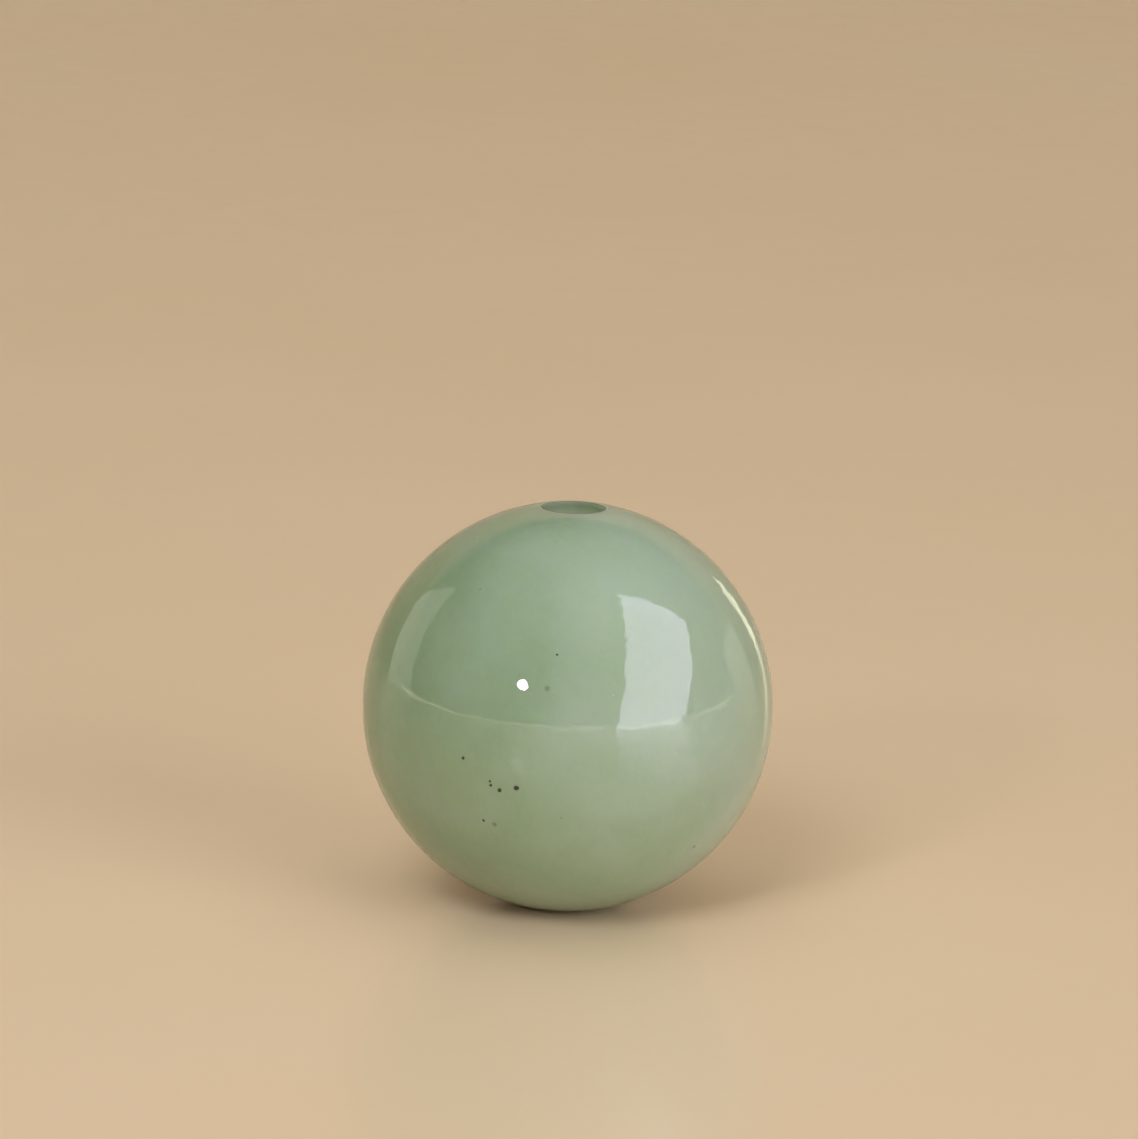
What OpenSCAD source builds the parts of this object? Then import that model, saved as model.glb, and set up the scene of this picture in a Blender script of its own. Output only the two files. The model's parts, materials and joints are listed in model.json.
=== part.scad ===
// Round stone bead: a polished ball drilled through from pole to pole, with the dark
// mineral grains that grew inside the stone as separate solids in pockets of their own.
// Millimetres. The origin is the centre of the ball and +Z runs along the drilled bore.

/* [Ball] */
// Diameter of the polished ball
ball_d = 20; // [10:0.5:40]
// Diameter of the bore drilled from pole to pole
bore_d = 3; // [1:0.1:6]
// Width of the narrow edge break that eases each mouth of the bore
edge_break = 0.05; // [0.02:0.01:0.3]
// Width of the flat ground around each mouth, on which the bead stands
land_w = 0.1; // [0.05:0.05:0.5]

/* [Dark grains] */
// Size of every grain, as a share of the sizes listed below
grain_scale = 1; // [0.5:0.1:1.5]

/* [Hidden] */
ball_r = ball_d / 2;
bore_r = bore_d / 2;
mouth_r = bore_r + edge_break;
land_r = mouth_r + land_w;

// Height of each ground land above and below the centre, where the ball is land_r wide.
land_z = sqrt(pow(ball_r, 2) - pow(land_r, 2));

// How far a cutting tool passes the surface that it cuts.
overrun = 1;

// Fineness of the curves that OpenSCAD draws.
ball_fn = 128;
bore_fn = 64;
grain_fn = 24;

// The azimuth, from +X, of the meridian that the grains are measured from.
front_azimuth = -90;

// Each grain's place and size in millimetres: how far it lies around the equator from the
// front meridian (towards +X) and up from the equator, both along the ball's surface, its
// diameter, and how deep its centre lies. A grain whose depth is under half its diameter
// reaches the surface and is polished flush with it.
AROUND = 0;
UP = 1;
SIZE = 2;
DEPTH = 3;
GRAINS = [
    [-5.15, -0.70, 0.18, 0.03],
    [-3.74, -1.69, 0.12, 0.02],
    [-3.70, -1.89, 0.14, 0.02],
    [-3.25, -2.10, 0.20, 0.04],
    [-2.40, -1.90, 0.28, 0.05],
    [-4.30, -3.90, 0.14, 0.02],
    [-3.70, -4.05, 0.24, 0.22],
    [ 8.55, -5.85, 0.20, 0.16],
    [-1.05,  3.05, 0.26, 0.45],
    [-0.65,  4.70, 0.12, 0.02]
];

// The angle in degrees that a length along the ball's surface spans at its centre.
function span(arc) = arc / ball_r * 180 / PI;

function grain_name(i) = str("dark_grain_", i + 1);

module ball() {
    sphere(r = ball_r, $fn = ball_fn);
}

// The cone that breaks the edge of the upper mouth: bore_r wide at its foot, and mouth_r
// wide where it meets the land.
module upper_edge_break() {
    translate([0, 0, land_z - edge_break])
        cylinder(r1 = bore_r, r2 = mouth_r + overrun, h = edge_break + overrun, $fn = bore_fn);
}

module bore_space() {
    cylinder(r = bore_r, h = ball_d + overrun, center = true, $fn = bore_fn);
    upper_edge_break();
    mirror([0, 0, 1]) upper_edge_break();
}

// What the two ground lands leave of the ball's height.
module between_lands() {
    cube([ball_d + overrun, ball_d + overrun, 2 * land_z], center = true);
}

module grain_space(i) {
    grain = GRAINS[i];
    rotate([0, -span(grain[UP]), front_azimuth + span(grain[AROUND])])
        translate([ball_r - grain[DEPTH], 0, 0])
            sphere(d = grain[SIZE] * grain_scale, $fn = grain_fn);
}

module stone_bead() {
    color("#9DB592")
        difference() {
            intersection() {
                ball();
                between_lands();
            }
            bore_space();
            for (i = [0:len(GRAINS) - 1]) grain_space(i);
        }
}

module dark_grain(i) {
    color("#24261F")
        intersection() {
            ball();
            grain_space(i);
        }
}

stone_bead();
for (i = [0:len(GRAINS) - 1]) dark_grain(i);
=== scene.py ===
import json
import math

import bpy
from bpy.props import FloatProperty, FloatVectorProperty, IntProperty, PointerProperty
from mathutils import Matrix, Vector


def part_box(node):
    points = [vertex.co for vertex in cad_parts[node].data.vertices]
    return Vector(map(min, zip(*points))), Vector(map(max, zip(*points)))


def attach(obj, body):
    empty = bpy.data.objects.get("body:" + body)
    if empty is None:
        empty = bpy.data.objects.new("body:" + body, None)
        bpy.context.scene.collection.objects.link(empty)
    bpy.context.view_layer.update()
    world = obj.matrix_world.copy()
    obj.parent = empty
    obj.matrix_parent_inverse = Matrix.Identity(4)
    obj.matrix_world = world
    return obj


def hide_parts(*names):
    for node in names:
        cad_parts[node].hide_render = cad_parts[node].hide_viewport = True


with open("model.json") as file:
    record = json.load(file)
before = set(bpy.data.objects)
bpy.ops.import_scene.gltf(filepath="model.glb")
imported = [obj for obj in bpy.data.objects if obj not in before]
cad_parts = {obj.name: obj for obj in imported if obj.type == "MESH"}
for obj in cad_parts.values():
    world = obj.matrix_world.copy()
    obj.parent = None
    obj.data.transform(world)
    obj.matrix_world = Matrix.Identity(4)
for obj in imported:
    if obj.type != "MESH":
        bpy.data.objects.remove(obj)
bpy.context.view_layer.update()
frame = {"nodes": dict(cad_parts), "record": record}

bl_info = {
    "name": "Drilled stone bead",
    "version": (1, 0, 0),
    "blender": (4, 5, 0),
    "location": "View3D > Sidebar > Bead",
    "description": "Makes a polished, drilled ball of pale green stone with dark grains in it",
    "category": "Add Mesh",
}

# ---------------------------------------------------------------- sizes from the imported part

BODY = "root"
BEAD_NODE = "stone_bead"
GRAIN_NODES = sorted(name for name in frame["nodes"] if name.startswith("dark_grain_"))
MM = 0.001
PATTERN_PER_METRE = 1 / MM

bead_low, bead_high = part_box(BEAD_NODE)
mounts = {mount["name"]: mount for mount in frame["record"]["mounts"]}
LAND_Z = bead_high.z
BORE_R = mounts["bore"]["dims"]["r_mm"] * MM
EDGE_BREAK = LAND_Z - mounts["bore"]["dims"]["length_mm"] * MM / 2
MOUTH_R = BORE_R + EDGE_BREAK
LAND_R = 2 * mounts["standing_land"]["pos_m"][0] - MOUTH_R  # the mount is at mid-width
BALL_R = math.hypot(LAND_R, LAND_Z)

# Each grain's centre, its size, and how deep its nearest point lies below the ball's surface,
# which is less than nothing where the polish has cut the grain. The polish cuts only the outer
# sides of a grain's box, so its centre is measured from the inner ones.
GRAINS = []
for name in GRAIN_NODES:
    low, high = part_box(name)
    size = max(high - low)
    sides = zip(low, high)
    centre = Vector([a + size / 2 if a + b > 0 else b - size / 2 for a, b in sides])
    GRAINS.append((centre, size, BALL_R - centre.length - size / 2))
BURIED = 0.02 * MM  # a grain deeper than this shows only as a shade


# ---------------------------------------------------------------- node trees written as Python


class Wire:
    """One socket of a node tree. Sums on it add the Math nodes that work them out."""

    def __init__(self, sheet, socket):
        self.sheet, self.socket = sheet, socket

    def __add__(self, other):
        return self.sheet.maths("ADD", self, other)

    def __sub__(self, other):
        return self.sheet.maths("SUBTRACT", self, other)

    def __rsub__(self, other):
        return self.sheet.maths("SUBTRACT", other, self)

    def __mul__(self, other):
        return self.sheet.maths("MULTIPLY", self, other)

    def __truediv__(self, other):
        return self.sheet.maths("DIVIDE", self, other)

    def __rtruediv__(self, other):
        return self.sheet.maths("DIVIDE", other, self)

    def __pow__(self, other):
        return self.sheet.maths("POWER", self, other)

    __radd__, __rmul__ = __add__, __mul__


class Sheet:
    """A node tree, with one method that adds any node and a few that are used often."""

    def __init__(self, tree):
        self.tree = tree

    def add(self, kind, settings=None, sockets=None, out=0):
        """Adds a node, makes its settings first, then fills its sockets. Returns one output."""
        node = self.tree.nodes.new(kind)
        for name, value in (settings or {}).items():
            if name == "stops":
                fill_ramp(node.color_ramp, value)
            elif name == "cases":
                while len(node.index_switch_items) < value:
                    node.index_switch_items.new()
            else:
                setattr(node, name, value)
        for key, value in (sockets or {}).items():
            if isinstance(value, Wire):
                self.tree.links.new(value.socket, node.inputs[key])
            elif isinstance(value, list):
                for wire in value:
                    self.tree.links.new(wire.socket, node.inputs[key])
            else:
                node.inputs[key].default_value = value
        return Wire(self, node.outputs[out]) if node.outputs else node

    def maths(self, operation, *values):
        return self.add("ShaderNodeMath", {"operation": operation}, dict(enumerate(values)))

    def vector(self, operation, *values, out=0):
        settings = {"operation": operation}
        return self.add("ShaderNodeVectorMath", settings, dict(enumerate(values)), out)

    def scaled(self, vector, factor):
        sockets = {0: vector, "Scale": factor}
        return self.add("ShaderNodeVectorMath", {"operation": "SCALE"}, sockets)

    def point(self, x=0.0, y=0.0, z=0.0):
        return self.add("ShaderNodeCombineXYZ", None, {0: x, 1: y, 2: z})

    def parts(self, vector):
        """The x, y and z of a vector."""
        split = self.add("ShaderNodeSeparateXYZ", None, {0: vector}).socket.node
        return [Wire(self, socket) for socket in split.outputs]

    def ease(self, value, start, end):
        """0 up to start and 1 past end, with a smooth rise between them."""
        settings = {"interpolation_type": "SMOOTHSTEP"}
        sockets = {"Value": value, "From Min": start, "From Max": end}
        return self.add("ShaderNodeMapRange", settings, sockets)

    def blend(self, share, first, second):
        """Colours mixed by share, from none of second at 0 to all of it at 1."""
        sockets = {0: share, 6: first, 7: second}
        return self.add("ShaderNodeMix", {"data_type": "RGBA"}, sockets, out=2)

    def noise(self, place, scale, detail=2.0, roughness=0.5, distortion=0.0):
        sockets = {"Vector": place, "Scale": scale, "Detail": detail}
        sockets |= {"Roughness": roughness, "Distortion": distortion}
        return self.add("ShaderNodeTexNoise", None, sockets)


def fill_ramp(ramp, stops):
    """Gives a colour ramp these (position, colour) stops."""
    while len(ramp.elements) > len(stops):
        ramp.elements.remove(ramp.elements[-1])
    while len(ramp.elements) < len(stops):
        ramp.elements.new(1.0)
    for element, (position, colour) in zip(ramp.elements, stops):
        element.position, element.color = position, (*colour, 1.0)


def solid(colour):
    """The colour with the alpha that a socket wants."""
    return (*colour, 1.0)


# ---------------------------------------------------------------- materials


def new_material(name):
    """A material with an empty tree, the sheet that fills it and the place in millimetres."""
    material = bpy.data.materials.new(name)
    material.use_nodes = True
    material.node_tree.nodes.clear()
    sheet = Sheet(material.node_tree)
    place = sheet.add("ShaderNodeTexCoord", out=3)
    place = sheet.vector("MULTIPLY", place, (PATTERN_PER_METRE,) * 3)
    return material, sheet, place


def finish_material(sheet, constants, links):
    """Makes the Principled shader and links it to the material's output."""
    shader = sheet.add("ShaderNodeBsdfPrincipled", None, {**constants, **links})
    sheet.add("ShaderNodeOutputMaterial", None, {"Surface": shader})


# The stone's finish and structure. Lengths are in millimetres, and a pattern's scale is in cells
# to a millimetre.
LAND_ROUGHNESS = 0.32
LAND_FADE = (-0.01, 0.02)  # where the ground land gives way to polish, from the land's rim
BORE_FADE = (0.03, 0.08)  # where the bore's painted shade and ground finish end, from the mouth's rim
MOUTH_SHADE_RUN = 0.7  # how far down the bore the painted dark rim of the mouth reaches
BORE_SHADE_STRENGTH = 0.9
ALONG_BORE = (1.0, 1.0, 0.35)  # the felted fibres are drawn out along the bore
WIPE = (0.5, 0.5, 3.0)  # wipe marks run round the ball
FELT_STRENGTH = 0.035
WARM_STRENGTH = 0.4
FLECKS = (0.9, 0.055, 0.80)  # scale, radius and rarity, as speck_mask takes them
FLECK_STRENGTH = 0.45
SPECKS = (0.7, 0.050, 0.86)
SPECK_STRENGTH = 0.35
PITS = (2.4, 0.16, 0.45)
PIT_DULLING = 0.1
GRAIN_PAINTED_SHADE = 0.8  # a grain at the surface: how dark the painted shade on the stone round it is
GRAIN_SHADE = 0.45  # one under it: how dark the spot would be at no depth,
GRAIN_FADING = 0.5  # how much paler it is for each millimetre of depth,
GRAIN_FAINTEST = 0.25  # and the palest that it gets
GRAIN_SPREAD = 0.65  # how far the spot reaches to the side, as a share of the grain's size


def polished_stone(settings):
    """Translucent pale green stone: clouds and felted fibres in it, a high polish outside, and
    a ground finish on the lands and down the bore."""
    material, sheet, place = new_material("polished_green_stone")
    x, y, z = sheet.parts(place)
    from_axis = (x * x + y * y) ** 0.5
    mouth_r = MOUTH_R / MM
    land_r = LAND_R / MM
    land = 1 - sheet.ease(from_axis, *(land_r + edge for edge in LAND_FADE))
    bore = 1 - sheet.ease(from_axis, *(mouth_r + edge for edge in BORE_FADE))

    # The body of the stone.
    clouds = sheet.noise(place, 0.10, detail=2.0, roughness=0.45, distortion=0.4)
    wisps = sheet.noise(place, 0.35, detail=3.0, roughness=0.5, distortion=0.8)
    along = sheet.vector("MULTIPLY", place, ALONG_BORE)
    fibres = sheet.noise(along, 2.6, detail=5.0, roughness=0.65, distortion=0.4)
    # The stone pales towards +X and upwards: painted light on its lit side and top, mixed into
    # its clouds.
    drift = clouds * 0.8 + wisps * 0.2 + x * 0.022 + z * 0.010
    pale = sheet.ease(drift, 0.25, 0.75)
    colour = sheet.blend(pale, solid(settings.stone_deep), solid(settings.stone_pale))
    warm = sheet.ease(sheet.noise(place, 0.12, detail=1.0), 0.45, 0.8) * WARM_STRENGTH
    colour = sheet.blend(warm, colour, solid(settings.stone_warm))
    felt = sheet.ease(fibres, 0.3, 0.7) * FELT_STRENGTH
    colour = sheet.blend(felt, colour, solid(settings.stone_fleck))

    # Pale flecks and faint dark specks.
    flecks = speck_mask(sheet, place, *FLECKS) * FLECK_STRENGTH
    colour = sheet.blend(flecks, colour, solid(settings.stone_fleck))
    specks = speck_mask(sheet, place, *SPECKS) * SPECK_STRENGTH
    colour = sheet.blend(specks, colour, solid(settings.grain_colour))

    # A grain under the surface shows through it as a soft dark spot, and round one at the surface
    # the stone is darkened with painted shade.
    for centre, size, depth in GRAINS:
        away = sheet.vector("DISTANCE", place, tuple(centre / MM), out=1)
        nearest = (depth + size / 2) / MM
        reach = math.hypot(nearest, size / MM * GRAIN_SPREAD)
        spot = 1 - sheet.ease(away, nearest, reach)
        strength = GRAIN_PAINTED_SHADE
        if depth > BURIED:
            strength = max(GRAIN_FAINTEST, GRAIN_SHADE - depth / MM * GRAIN_FADING)
        colour = sheet.blend(spot * strength, colour, solid(settings.grain_colour))

    # Painted shade darkens the bore's ground wall, and a darker rim is painted at its mouths.
    inward = sheet.ease(LAND_Z / MM - sheet.maths("ABSOLUTE", z), 0.0, MOUTH_SHADE_RUN)
    wall = sheet.blend(inward, solid(settings.mouth_shade_colour), solid(settings.bore_wall_and_shade_colour))
    colour = sheet.blend(bore * BORE_SHADE_STRENGTH, colour, wall)

    # The finish: a gloss with faint wipe marks, dulled in the tiny pits that the polish left,
    # on the lands and down the bore.
    pits = speck_mask(sheet, place, *PITS)
    wiped = sheet.noise(sheet.vector("MULTIPLY", place, WIPE), 1.5, detail=4.0)
    gloss = settings.gloss_roughness + sheet.ease(wiped, 0.5, 0.8) * 0.02 + pits * PIT_DULLING
    roughness = gloss + land * (LAND_ROUGHNESS - gloss)
    roughness = roughness + bore * (settings.bore_roughness - roughness)

    # The relief: a faint orange peel, sparse pits, and grinding marks where it isn't polished.
    waves = sheet.noise(place, 1.2, detail=0.0) + sheet.noise(place, 3.2, detail=0.0) * 1.2
    peel = waves * settings.peel_depth
    relief_pits = pits * -settings.pit_depth
    ground = sheet.noise(place, 9.0, detail=4.0, roughness=0.7) * (bore * 0.012 + land * 0.002)
    height = peel + relief_pits + ground
    relief = sheet.add("ShaderNodeBump", None, {"Distance": MM, "Height": height})

    constants = {
        "IOR": 1.61,
        "Subsurface Weight": 1.0,
        "Subsurface Radius": tuple(value * MM for value in settings.stone_depth),
        "Subsurface Scale": 1.0,
        "Subsurface Anisotropy": 0.3,
    }
    links = {"Base Color": colour, "Roughness": roughness, "Normal": relief}
    finish_material(sheet, constants, links)
    return material


def speck_mask(sheet, place, scale, radius, rarity):
    """1 inside small round specks strewn at random: scale cells to a millimetre, each speck
    that radius in cells, kept where the cell's own number is over rarity."""
    sockets = {"Vector": place, "Scale": scale, "Randomness": 1.0}
    cell = sheet.add("ShaderNodeTexVoronoi", None, sockets).socket.node
    near = 1 - sheet.ease(Wire(sheet, cell.outputs["Distance"]), radius * 0.5, radius)
    number = sheet.parts(Wire(sheet, cell.outputs["Color"]))[0]
    return near * sheet.maths("GREATER_THAN", number, rarity)


def dark_mineral(settings):
    """Near-black mineral with rusty patches and a dull metallic glint on its facets."""
    material, sheet, place = new_material("dark_grain_mineral")
    patches = sheet.ease(sheet.noise(place, 14.0, detail=3.0), 0.4, 0.65)
    colour = sheet.blend(patches * 0.6, solid(settings.grain_colour), solid(settings.grain_rust))
    roughness = sheet.noise(place, 22.0, detail=2.0) * 0.3 + 0.22
    facets = sheet.noise(place, 18.0, detail=3.0) * 0.008
    relief = sheet.add("ShaderNodeBump", None, {"Distance": MM, "Height": facets})
    links = {"Base Color": colour, "Roughness": roughness, "Normal": relief}
    finish_material(sheet, {"IOR": 1.6}, links)
    return material


FLOOR_ROUGHNESS = 0.20
FLOOR_WAX = (0.95, 0.92, 0.86, 1.0)  # the colour of the floor's paler, waxed patches


def pale_floor(settings):
    """A plain pale board with a satin finish."""
    material, sheet, place = new_material("pale_floor")
    tone = sheet.noise(place, 0.02, detail=3.0)
    colour = sheet.blend(tone * 0.15, solid(settings.floor_colour), FLOOR_WAX)
    roughness = sheet.noise(place, 0.3, detail=2.0) * 0.03 + FLOOR_ROUGHNESS
    links = {"Base Color": colour, "Roughness": roughness}
    finish_material(sheet, {"IOR": 1.45}, links)
    return material


# ---------------------------------------------------------------- geometry trees


def new_geometry(name, inputs):
    """A geometry tree with these (name, kind) inputs. Returns its sheet, the wires of its inputs
    by name and the identifiers that a modifier sets them by."""
    tree = bpy.data.node_groups.new(name, "GeometryNodeTree")
    tree.interface.new_socket("Geometry", in_out="INPUT", socket_type="NodeSocketGeometry")
    tree.interface.new_socket("Geometry", in_out="OUTPUT", socket_type="NodeSocketGeometry")
    identifiers = {}
    for label, kind in inputs:
        socket = tree.interface.new_socket(label, in_out="INPUT", socket_type=kind)
        identifiers[label] = socket.identifier
    sheet = Sheet(tree)
    start = tree.nodes.new("NodeGroupInput")
    wires = {socket.name: Wire(sheet, socket) for socket in start.outputs if socket.name}
    return sheet, wires, identifiers


def end_geometry(sheet, geometry, material):
    """Ends the tree with Realize Instances and Set Material."""
    real = sheet.add("GeometryNodeRealizeInstances", None, {"Geometry": geometry})
    done = sheet.add("GeometryNodeSetMaterial", None, {"Geometry": real, "Material": material})
    sheet.add("NodeGroupOutput", None, {0: done})


ARC_STOPS_SHORT = math.radians(0.4)  # how far before a land's rim the arc over the ball ends
CORNERS = 4  # on each half: the arc's end, the land's rim, the mouth's rim and the bore's wall
CUTS_PER_RING = 4  # points that draw one ring in the bore
JOINED_WITHIN = 1e-7


def drilled_ball_tree(material):
    """Turns one closed outline about the bore: over the ball, across a land, down the bore and
    back across the other land, with every corner rounded."""
    length, count = "NodeSocketFloat", "NodeSocketInt"
    names = ("Ball radius", "Land radius", "Land height", "Bore radius", "Edge break")
    inputs = [(name, length) for name in names + ("Corner radius", "Ring depth", "Ring spacing")]
    inputs += [("Steps around", count), ("Steps over the ball", count)]
    sheet, given, identifiers = new_geometry("Drilled ball", inputs)
    ball_r, land_r, land_z = (given[name] for name in names[:3])
    bore_r, edge_break = given["Bore radius"], given["Edge break"]
    spin_r = ball_r * 0.5  # the path that the outline is carried round

    # The arc over the ball stops a little short of the lands, so that their rims are rounded.
    arc_end = sheet.maths("ARCTAN2", land_z, land_r) - ARC_STOPS_SHORT
    sockets = {"Resolution": given["Steps over the ball"], "Radius": ball_r}
    sockets |= {"Start Angle": 0 - arc_end, "Sweep Angle": arc_end * 2}
    arc = sheet.add("GeometryNodeCurveArc", {"mode": "RADIUS"}, sockets)

    # The other corners, from the arc's end to the bore's wall, and the same again mirrored.
    corner = sheet.add("GeometryNodeInputIndex")
    lower_half = sheet.maths("GREATER_THAN", corner, CORNERS - 0.5)
    step = sheet.maths("MINIMUM", corner, 2 * CORNERS - 1 - corner)
    step = sheet.add("FunctionNodeFloatToInt", None, {0: step})
    arc_x, arc_y = ball_r * sheet.maths("COSINE", arc_end), ball_r * sheet.maths("SINE", arc_end)
    across = {1: arc_x, 2: land_r, 3: bore_r + edge_break, 4: bore_r}
    upward = {1: arc_y, 2: land_z, 3: land_z, 4: land_z - edge_break}
    choose = {"data_type": "FLOAT", "cases": CORNERS}
    across = sheet.add("GeometryNodeIndexSwitch", choose, {0: step, **across})
    upward = sheet.add("GeometryNodeIndexSwitch", choose, {0: step, **upward})
    upward = upward * (1 - lower_half * 2)
    line = sheet.add("GeometryNodeMeshLine", None, {"Count": 2 * CORNERS})
    sockets = {"Geometry": line, "Position": sheet.point(across, upward)}
    line = sheet.add("GeometryNodeSetPosition", None, sockets)
    line = sheet.add("GeometryNodeMeshToCurve", None, {"Mesh": line})
    sockets = {"Curve": line, "Count": 4, "Radius": given["Corner radius"], "Limit Radius": True}
    line = sheet.add("GeometryNodeFilletCurve", {"mode": "POLY"}, sockets)

    # Cut the long run down the bore, and press the drill's rings into it.
    here = sheet.add("GeometryNodeInputPosition")
    following = sheet.add("GeometryNodeInputIndex") + 1
    following = sheet.add("FunctionNodeFloatToInt", None, {0: following})
    settings = {"data_type": "FLOAT_VECTOR", "domain": "POINT"}
    after = sheet.add("GeometryNodeFieldAtIndex", settings, {"Value": here, "Index": following})
    run = sheet.vector("DISTANCE", here, after, out=1)
    cuts = run / given["Ring spacing"] * CUTS_PER_RING
    cuts = sheet.add("FunctionNodeFloatToInt", None, {0: cuts})
    line = sheet.add("GeometryNodeSubdivideCurve", None, {"Curve": line, "Cuts": cuts})
    radial, height, _ = sheet.parts(sheet.add("GeometryNodeInputPosition"))
    inside = sheet.maths("LESS_THAN", sheet.maths("ABSOLUTE", height), land_z - edge_break * 4)
    inside = inside * sheet.maths("LESS_THAN", radial, bore_r * 1.001)
    rings = sheet.maths("SINE", height / given["Ring spacing"] * math.tau)
    drift = sheet.noise(sheet.point(0.0, height * 900), 1.0, detail=2.0)
    offset = sheet.point(given["Ring depth"] * rings * inside * drift)
    line = sheet.add("GeometryNodeSetPosition", None, {"Geometry": line, "Offset": offset})

    outline = sheet.add("GeometryNodeJoinGeometry", None, {0: [line, arc]})
    sockets = {"Geometry": outline, "Offset": sheet.point(0 - spin_r)}
    outline = sheet.add("GeometryNodeSetPosition", None, sockets)
    sockets = {"Resolution": given["Steps around"], "Radius": spin_r}
    path = sheet.add("GeometryNodeCurvePrimitiveCircle", None, sockets)
    sockets = {"Curve": path, "Profile Curve": outline}
    turned = sheet.add("GeometryNodeCurveToMesh", None, sockets)
    sockets = {"Geometry": turned, "Distance": JOINED_WITHIN}
    closed = sheet.add("GeometryNodeMergeByDistance", None, sockets)
    smooth = sheet.add("GeometryNodeSetShadeSmooth", None, {"Geometry": closed})
    end_geometry(sheet, smooth, material)
    return sheet.tree, identifiers


STRETCH = 0.15  # how much longer or shorter than its size a grain may be along each axis


def grains_tree(material):
    """Puts an irregular crystal on each point, then polishes what stands proud of the ball."""
    inputs = [("Ball radius", "NodeSocketFloat"), ("Stand proud", "NodeSocketFloat")]
    inputs += [("Unevenness", "NodeSocketFloat"), ("Seed", "NodeSocketInt")]
    sheet, given, identifiers = new_geometry("Dark grains", inputs)
    size = sheet.add("GeometryNodeInputNamedAttribute", {"data_type": "FLOAT"}, {"Name": "size"})
    points = sheet.add("GeometryNodeMeshToPoints", None, {"Mesh": given["Geometry"]})
    crystal = sheet.add("GeometryNodeMeshIcoSphere", None, {"Radius": 0.5, "Subdivisions": 4})
    limits = {0: (0.0, 0.0, 0.0), 1: (math.tau,) * 3, "Seed": given["Seed"]}
    turn = sheet.add("FunctionNodeRandomValue", {"data_type": "FLOAT_VECTOR"}, limits)
    turn = sheet.add("FunctionNodeEulerToRotation", None, {0: turn})
    limits = {0: (1 - STRETCH,) * 3, 1: (1 + STRETCH,) * 3, "Seed": given["Seed"] + 1}
    stretch = sheet.add("FunctionNodeRandomValue", {"data_type": "FLOAT_VECTOR"}, limits)
    scale = sheet.scaled(stretch, size)
    sockets = {"Points": points, "Instance": crystal, "Rotation": turn, "Scale": scale}
    placed = sheet.add("GeometryNodeInstanceOnPoints", None, sockets)
    real = sheet.add("GeometryNodeRealizeInstances", None, {"Geometry": placed})

    # Push each crystal's skin in and out, by a share of its own size.
    here = sheet.add("GeometryNodeInputPosition")
    millimetres = sheet.vector("MULTIPLY", here, (PATTERN_PER_METRE,) * 3)
    rough = sheet.noise(millimetres, 9.0, detail=3.0, roughness=0.6) - 0.5
    amount = rough * given["Unevenness"] * size
    push = sheet.scaled(sheet.add("GeometryNodeInputNormal"), amount)
    real = sheet.add("GeometryNodeSetPosition", None, {"Geometry": real, "Offset": push})

    here = sheet.add("GeometryNodeInputPosition")
    out = sheet.vector("LENGTH", here, out=1)
    top = given["Ball radius"] + given["Stand proud"]
    flush = sheet.scaled(sheet.vector("NORMALIZE", here), sheet.maths("MINIMUM", out, top))
    polished = sheet.add("GeometryNodeSetPosition", None, {"Geometry": real, "Position": flush})
    smooth = sheet.add("GeometryNodeSetShadeSmooth", None, {"Geometry": polished})
    end_geometry(sheet, smooth, material)
    return sheet.tree, identifiers


def grow(name, tree, identifiers, values, material, mesh=None):
    """Runs a geometry tree with these values, on mesh or on nothing, and returns its result as
    a plain object."""
    start = bpy.data.objects.new(name + "_tree", mesh or bpy.data.meshes.new(name + "_start"))
    bpy.context.scene.collection.objects.link(start)
    modifier = start.modifiers.new("Shape", "NODES")
    modifier.node_group = tree
    for label, value in values.items():
        modifier[identifiers[label]] = value
    depsgraph = bpy.context.evaluated_depsgraph_get()
    made = bpy.data.meshes.new_from_object(start.evaluated_get(depsgraph), depsgraph=depsgraph)
    bpy.data.objects.remove(start)
    made.name = name
    made.materials.clear()
    made.materials.append(material)
    made.polygons.foreach_set("material_index", [0] * len(made.polygons))
    piece = bpy.data.objects.new(name, made)
    bpy.context.scene.collection.objects.link(piece)
    return piece


# ---------------------------------------------------------------- settings


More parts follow.
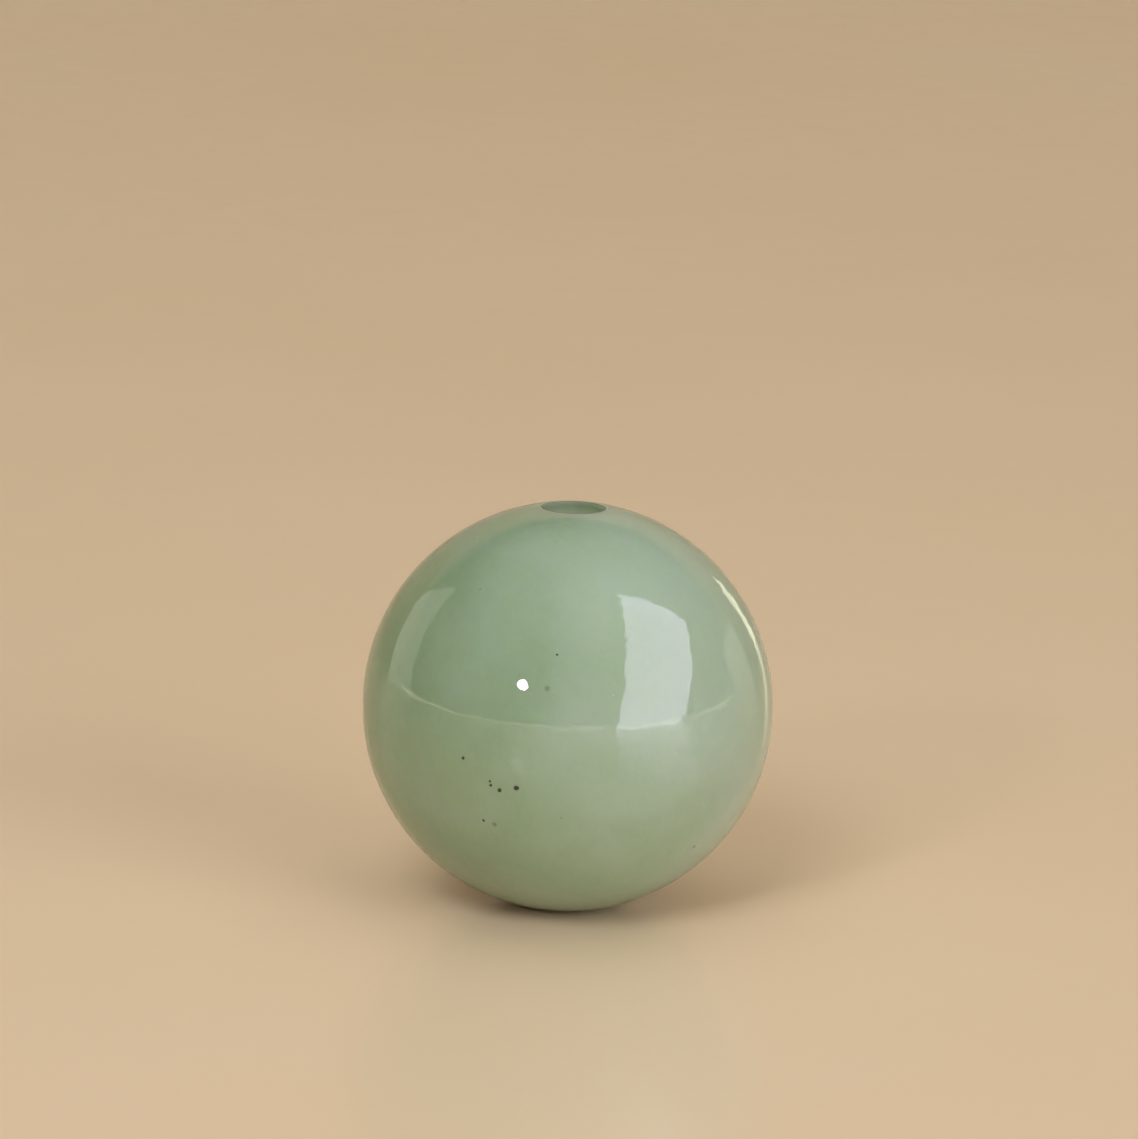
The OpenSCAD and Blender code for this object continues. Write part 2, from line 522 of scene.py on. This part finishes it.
class BeadSettings(bpy.types.PropertyGroup):
    """The sizes and colours of the bead, its grains and its studio."""

    ball_radius: FloatProperty(
        name="Ball radius", description="Radius of the polished ball",
        default=BALL_R, min=0.001, unit="LENGTH")
    bore_radius: FloatProperty(
        name="Bore radius", description="Radius of the hole drilled from pole to pole",
        default=BORE_R, min=0.0002, unit="LENGTH")
    edge_break: FloatProperty(
        name="Edge break", description="Width of the bevel at each mouth of the bore",
        default=EDGE_BREAK, min=0.0, unit="LENGTH")
    corner_radius: FloatProperty(
        name="Corner radius", description="How far polishing has rounded each corner",
        default=0.02 * MM, min=0.0, unit="LENGTH")
    ring_depth: FloatProperty(
        name="Ring depth", description="Depth of the rings that the drill left in the bore",
        default=0.012 * MM, min=0.0, unit="LENGTH")
    ring_spacing: FloatProperty(
        name="Ring spacing", description="Distance from one drill ring to the next",
        default=0.8 * MM, min=0.0001, unit="LENGTH")
    steps_around: IntProperty(
        name="Steps around", description="Faces round the ball", default=224, min=24)
    steps_over: IntProperty(
        name="Steps over", description="Points from one land to the other", default=160, min=24)
    stand_proud: FloatProperty(
        name="Stand proud", description="How far the hard grains stand above the polish",
        default=0.004 * MM, min=0.0, unit="LENGTH")
    unevenness: FloatProperty(
        name="Unevenness", description="Relief of a grain's skin, as a share of its size",
        default=0.6, min=0.0, subtype="FACTOR")
    grain_seed: IntProperty(name="Grain seed", description="Seed of the grains' turns", default=4)
    # The pale and deep stone colours also paint the lit side and the shaded side of the stone.
    stone_pale: FloatVectorProperty(
        name="Pale stone", description="Lightest colour of the stone", subtype="COLOR",
        size=3, min=0, max=1, default=(0.35, 0.44, 0.34))
    stone_deep: FloatVectorProperty(
        name="Deep stone", description="Deepest colour of the stone", subtype="COLOR",
        size=3, min=0, max=1, default=(0.26, 0.36, 0.22))
    stone_warm: FloatVectorProperty(
        name="Warm stone", description="Colour of the stone's warmer patches", subtype="COLOR",
        size=3, min=0, max=1, default=(0.315, 0.405, 0.235))
    stone_fleck: FloatVectorProperty(
        name="Flecks", description="Colour of the pale flecks and fibres", subtype="COLOR",
        size=3, min=0, max=1, default=(0.58, 0.66, 0.54))
    stone_depth: FloatVectorProperty(
        name="Light depth", description="How far red, green and blue light travel in the stone, "
        "in millimetres", size=3, min=0, default=(3.0, 4.0, 2.4))
    # The colour of the bore's ground wall, darkened with painted shade.
    bore_wall_and_shade_colour: FloatVectorProperty(
        name="Bore", description="Colour of the ground wall of the bore", subtype="COLOR",
        size=3, min=0, max=1, default=(0.37, 0.40, 0.30))
    # Painted shade: the dark rim at each mouth of the bore.
    mouth_shade_colour: FloatVectorProperty(
        name="Mouth", description="Colour of the stained edge of the bore", subtype="COLOR",
        size=3, min=0, max=1, default=(0.10, 0.112, 0.078))
    gloss_roughness: FloatProperty(
        name="Gloss", description="Roughness of the polished surface", default=0.03,
        min=0, max=1, subtype="FACTOR")
    bore_roughness: FloatProperty(
        name="Bore roughness", description="Roughness of the ground wall of the bore",
        default=0.6, min=0, max=1, subtype="FACTOR")
    peel_depth: FloatProperty(
        name="Peel", description="Depth of the orange peel in the polish, in millimetres",
        default=0.004, min=0)
    pit_depth: FloatProperty(
        name="Pits", description="Depth of the tiny pits in the polish, in millimetres",
        default=0.004, min=0)
    grain_colour: FloatVectorProperty(
        name="Grain", description="Colour of the dark mineral grains", subtype="COLOR",
        size=3, min=0, max=1, default=(0.012, 0.013, 0.010))
    grain_rust: FloatVectorProperty(
        name="Grain rust", description="Colour of the rusty patches on a grain", subtype="COLOR",
        size=3, min=0, max=1, default=(0.030, 0.024, 0.014))
    floor_colour: FloatVectorProperty(
        name="Floor", description="Colour of the plain floor", subtype="COLOR",
        size=3, min=0, max=1, default=(0.81, 0.62, 0.40))


# ---------------------------------------------------------------- the studio

CAMERA_DISTANCE = 0.40
CAMERA_HEIGHT_ANGLE = math.radians(13.0)
CAMERA_ROLL = math.radians(1.7)
CAMERA_LENS = 259.6
# How far the middle of the view lies from the ball's centre, in ball radii: right and up.
CAMERA_AIM = (0.0063, 0.664)
LAMP_DISTANCE = 0.8  # from the ball to each lamp round it

# The floor, in metres: how far it runs to each side, forward and back to the sweep that rises
# behind it, and the sweep's radius, height and steps.
FLOOR_SIDE = 4.0
FLOOR_FRONT = 6.0
SWEEP_START = 1.0
SWEEP_R = 0.5
SWEEP_TOP = 1.1
SWEEP_STEPS = 12


def toward(azimuth, elevation):
    """The direction at this azimuth, from the front round to +X, and elevation, in degrees."""
    a, e = math.radians(azimuth), math.radians(elevation)
    return Vector((math.cos(e) * math.sin(a), -math.cos(e) * math.cos(a), math.sin(e)))


def beside(azimuth, elevation):
    """The place of a lamp that stands in this direction from the ball."""
    return toward(azimuth, elevation) * LAMP_DISTANCE


def make_camera():
    """The camera, aimed past the ball's centre and rolled."""
    data = bpy.data.cameras.new("camera")
    data.lens, data.sensor_width = CAMERA_LENS, 36.0
    data.clip_start, data.clip_end = 0.01, 50.0
    camera = bpy.data.objects.new("camera", data)
    bpy.context.scene.collection.objects.link(camera)
    bpy.context.scene.camera = camera
    back = toward(0, math.degrees(CAMERA_HEIGHT_ANGLE))
    right = Vector((1, 0, 0))
    up = back.cross(right)
    view_right = right * math.cos(CAMERA_ROLL) + up * math.sin(CAMERA_ROLL)
    view_up = up * math.cos(CAMERA_ROLL) - right * math.sin(CAMERA_ROLL)
    camera.location = back * CAMERA_DISTANCE
    aim = (view_right * CAMERA_AIM[0] + view_up * CAMERA_AIM[1]) * BALL_R
    z = (camera.location - aim).normalized()
    x = view_up.cross(z).normalized()
    turn = Matrix((x, z.cross(x), z)).transposed()
    camera.matrix_world = Matrix.Translation(camera.location) @ turn.to_4x4()


def make_lamp(name, place, size, radiance, turn=None, shape="RECTANGLE", mirrored=True,
              lights=True):
    """A soft lamp. place is its middle, and turn its angles in degrees, without which it faces
    the ball. radiance is how bright its face is, per colour. One that isn't mirrored gives
    light but no reflection, and one that doesn't light gives a reflection only."""
    data = bpy.data.lights.new(name, "AREA")
    data.shape, data.size, data.size_y = shape, size[0], size[1]
    area = size[0] * size[1] * (math.pi / 4 if shape == "DISK" else 1)
    strongest = max(radiance)  # the lamp's colour is told as a share of this
    data.energy = strongest * math.pi * area
    data.color = [value / strongest for value in radiance]
    lamp = bpy.data.objects.new(name, data)
    bpy.context.scene.collection.objects.link(lamp)
    lamp.location = place
    if turn is None:
        lamp.rotation_euler = place.to_track_quat("Z", "Y").to_euler()
    else:
        lamp.rotation_euler = [math.radians(angle) for angle in turn]
    lamp.visible_camera = False
    lamp.visible_glossy = mirrored
    lamp.visible_diffuse = lights


def make_lamps():
    """The ball mirrors the panels, the strip and the small lamp. Most of the light comes from
    the three lamps after them, which it doesn't mirror."""
    make_lamp("window_panel", beside(62, 23), turn=(55, 13, 21), size=(0.64, 1.2),
              radiance=(3.2, 3.0, 3.9), lights=False)
    make_lamp("side_panel", beside(-119, 11), turn=(62, -7, -64), size=(0.5, 0.55),
              radiance=(0.75, 0.75, 0.62), lights=False)
    make_lamp("back_strip", beside(149, 6), size=(0.09, 0.24), radiance=(1.8, 1.8, 1.3),
              lights=False)
    make_lamp("back_panel", beside(119, 8), size=(0.3, 0.24), radiance=(0.55, 0.55, 0.45),
              lights=False)
    make_lamp("small_lamp", beside(-27, 22), size=(0.07, 0.07), radiance=(60, 57, 58),
              shape="DISK")
    make_lamp("front_light", beside(-20, 40), size=(0.3, 0.3), radiance=(8.2, 8.2, 9.0),
              mirrored=False)
    make_lamp("window_light", beside(45, 12), size=(0.5, 0.5), radiance=(5.7, 5.4, 5.9),
              mirrored=False)
    make_lamp("ceiling", (0.0, 0.2, 1.6), turn=(0, 0, 0), size=(2.4, 2.4),
              radiance=(0.45, 0.42, 0.37), mirrored=False)


def make_floor(material):
    """The floor and the sweep behind it, as one sheet."""
    rows = [(y, 0.0) for y in (-FLOOR_FRONT, -2.0, -0.5, 0.5, SWEEP_START)]
    for step in range(1, SWEEP_STEPS + 1):
        angle = math.radians(90 * step / SWEEP_STEPS)
        y, z = SWEEP_START + SWEEP_R * math.sin(angle), SWEEP_R * (1 - math.cos(angle))
        rows.append((y, z))
    rows.append((SWEEP_START + SWEEP_R, SWEEP_TOP))
    columns = [-FLOOR_SIDE, -2.0, -0.5, 0.5, 2.0, FLOOR_SIDE]
    floor_z = bead_low.z
    vertices = [(x, y, floor_z + z) for y, z in rows for x in columns]
    wide = len(columns)
    faces = [
        (r * wide + c, r * wide + c + 1, (r + 1) * wide + c + 1, (r + 1) * wide + c)
        for r in range(len(rows) - 1) for c in range(wide - 1)
    ]
    mesh = bpy.data.meshes.new("floor")
    mesh.from_pydata(vertices, [], faces)
    mesh.polygons.foreach_set("use_smooth", [True] * len(mesh.polygons))
    mesh.materials.append(material)
    floor = bpy.data.objects.new("floor", mesh)
    bpy.context.scene.collection.objects.link(floor)


def make_room():
    """The light from the room round the studio, by the sine of its height: a lit band low down,
    then dim walls, then a paler ceiling."""
    world = bpy.data.worlds.new("room")
    world.use_nodes = True
    world.node_tree.nodes.clear()
    sheet = Sheet(world.node_tree)
    height = sheet.parts(sheet.add("ShaderNodeTexCoord", out=3))[2]
    stops = [
        (0.020, (1.60, 1.40, 1.00)), (0.028, (0.10, 0.10, 0.09)), (0.600, (0.06, 0.06, 0.05)),
        (0.720, (0.12, 0.12, 0.10)), (0.850, (0.45, 0.45, 0.40)), (1.000, (0.52, 0.52, 0.50)),
    ]
    colour = sheet.add("ShaderNodeValToRGB", {"stops": stops}, {"Fac": height})
    light = sheet.add("ShaderNodeBackground", None, {"Color": colour})
    sheet.add("ShaderNodeOutputWorld", None, {"Surface": light})
    return world


# ---------------------------------------------------------------- operators


class BEAD_OT_make_stone(bpy.types.Operator):
    """Make the drilled and polished stone ball"""

    bl_idname = "bead.make_stone"
    bl_label = "Make the stone"

    def execute(self, context):
        settings = context.scene.bead
        material = polished_stone(settings)
        tree, identifiers = drilled_ball_tree(material)
        values = {
            "Ball radius": settings.ball_radius,
            "Land radius": LAND_R,
            "Land height": LAND_Z,
            "Bore radius": settings.bore_radius,
            "Edge break": settings.edge_break,
            "Corner radius": settings.corner_radius,
            "Ring depth": settings.ring_depth,
            "Ring spacing": settings.ring_spacing,
            "Steps around": settings.steps_around,
            "Steps over the ball": settings.steps_over,
        }
        stone = grow("polished_stone", tree, identifiers, values, material)
        if not stone.data.polygons:
            raise RuntimeError("the drilled ball came out empty")
        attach(stone, BODY)
        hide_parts(BEAD_NODE)
        return {"FINISHED"}


class BEAD_OT_make_grains(bpy.types.Operator):
    """Make the dark mineral grains that lie in the stone"""

    bl_idname = "bead.make_grains"
    bl_label = "Make the grains"

    def execute(self, context):
        settings = context.scene.bead
        points = bpy.data.meshes.new("grain_points")
        points.from_pydata([tuple(centre) for centre, _, _ in GRAINS], [], [])
        sizes = points.attributes.new("size", "FLOAT", "POINT")
        sizes.data.foreach_set("value", [size for _, size, _ in GRAINS])
        material = dark_mineral(settings)
        tree, identifiers = grains_tree(material)
        values = {
            "Ball radius": settings.ball_radius,
            "Stand proud": settings.stand_proud,
            "Unevenness": settings.unevenness,
            "Seed": settings.grain_seed,
        }
        grains = grow("dark_grains", tree, identifiers, values, material, points)
        if not grains.data.polygons:
            raise RuntimeError("the grains came out empty")
        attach(grains, BODY)
        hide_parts(*GRAIN_NODES)
        return {"FINISHED"}


class BEAD_OT_make_stage(bpy.types.Operator):
    """Make the floor, the lamps and the camera"""

    bl_idname = "bead.make_stage"
    bl_label = "Make the studio"

    def execute(self, context):
        settings = context.scene.bead
        make_camera()
        make_floor(pale_floor(settings))
        make_lamps()
        context.scene.world = make_room()
        context.scene.view_settings.view_transform = "Standard"
        return {"FINISHED"}


class BEAD_PT_panel(bpy.types.Panel):
    """Lists the bead's settings and the buttons that make its pieces"""

    bl_idname = "BEAD_PT_panel"
    bl_label = "Stone bead"
    bl_space_type = "VIEW_3D"
    bl_region_type = "UI"
    bl_category = "Bead"

    def draw(self, context):
        for name in BeadSettings.__annotations__:
            self.layout.prop(context.scene.bead, name)
        for operator in OPERATORS:
            self.layout.operator(operator.bl_idname)


OPERATORS = (BEAD_OT_make_stage, BEAD_OT_make_stone, BEAD_OT_make_grains)
CLASSES = (BeadSettings, *OPERATORS, BEAD_PT_panel)


def register():
    for kind in CLASSES:
        bpy.utils.register_class(kind)
    bpy.types.Scene.bead = PointerProperty(type=BeadSettings)


def unregister():
    del bpy.types.Scene.bead
    for kind in reversed(CLASSES):
        bpy.utils.unregister_class(kind)


def main():
    register()
    bpy.ops.bead.make_stage()
    bpy.ops.bead.make_stone()
    bpy.ops.bead.make_grains()


if __name__ == "__main__":
    main()
